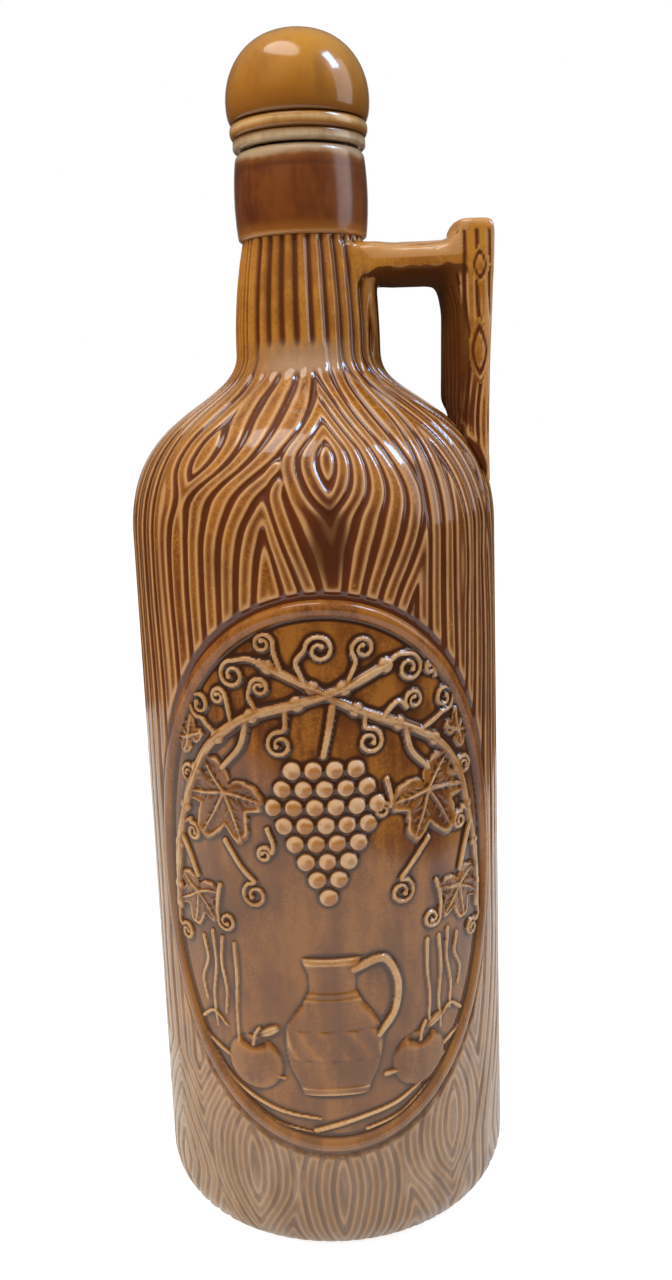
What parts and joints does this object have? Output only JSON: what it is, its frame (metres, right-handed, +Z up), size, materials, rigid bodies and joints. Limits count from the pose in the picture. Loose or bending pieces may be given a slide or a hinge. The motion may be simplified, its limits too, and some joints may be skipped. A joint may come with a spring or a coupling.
{
  "type": "liquor decanter",
  "caption": "Tall glazed stoneware bottle carved like wood, with an oval relief panel, a branch-like slab handle and a domed stopper on a cork.",
  "frame": {"origin": "middle of the foot, on the surface that the bottle stands on", "axes": "+Z up the bottle's axis to the stopper, -Y out of the oval relief panel, +X to the handle"},
  "size_m": [0.0884, 0.0894, 0.285],
  "materials": {
    "grain_glaze": "glossy transparent brown glaze, dark in the grooves and pale on the edges",
    "panel_glaze": "glossy brown glaze, ochre on the raised relief",
    "stopper_glaze": "glossy amber glaze, pale on the rings",
    "cork": "bare cork"
  },
  "bodies": {
    "bottle": {"bottle_body": "grain_glaze", "handle": "grain_glaze", "relief_panel": "panel_glaze"},
    "stopper": {"stopper_head": "stopper_glaze", "stopper_cork": "cork"}
  },
  "joints": [
    {"name": "stopper_lift", "type": "slide", "parent": "bottle", "child": "stopper", "axis": [0, 0, 1], "range_m": [0, 0.05]}
  ]
}
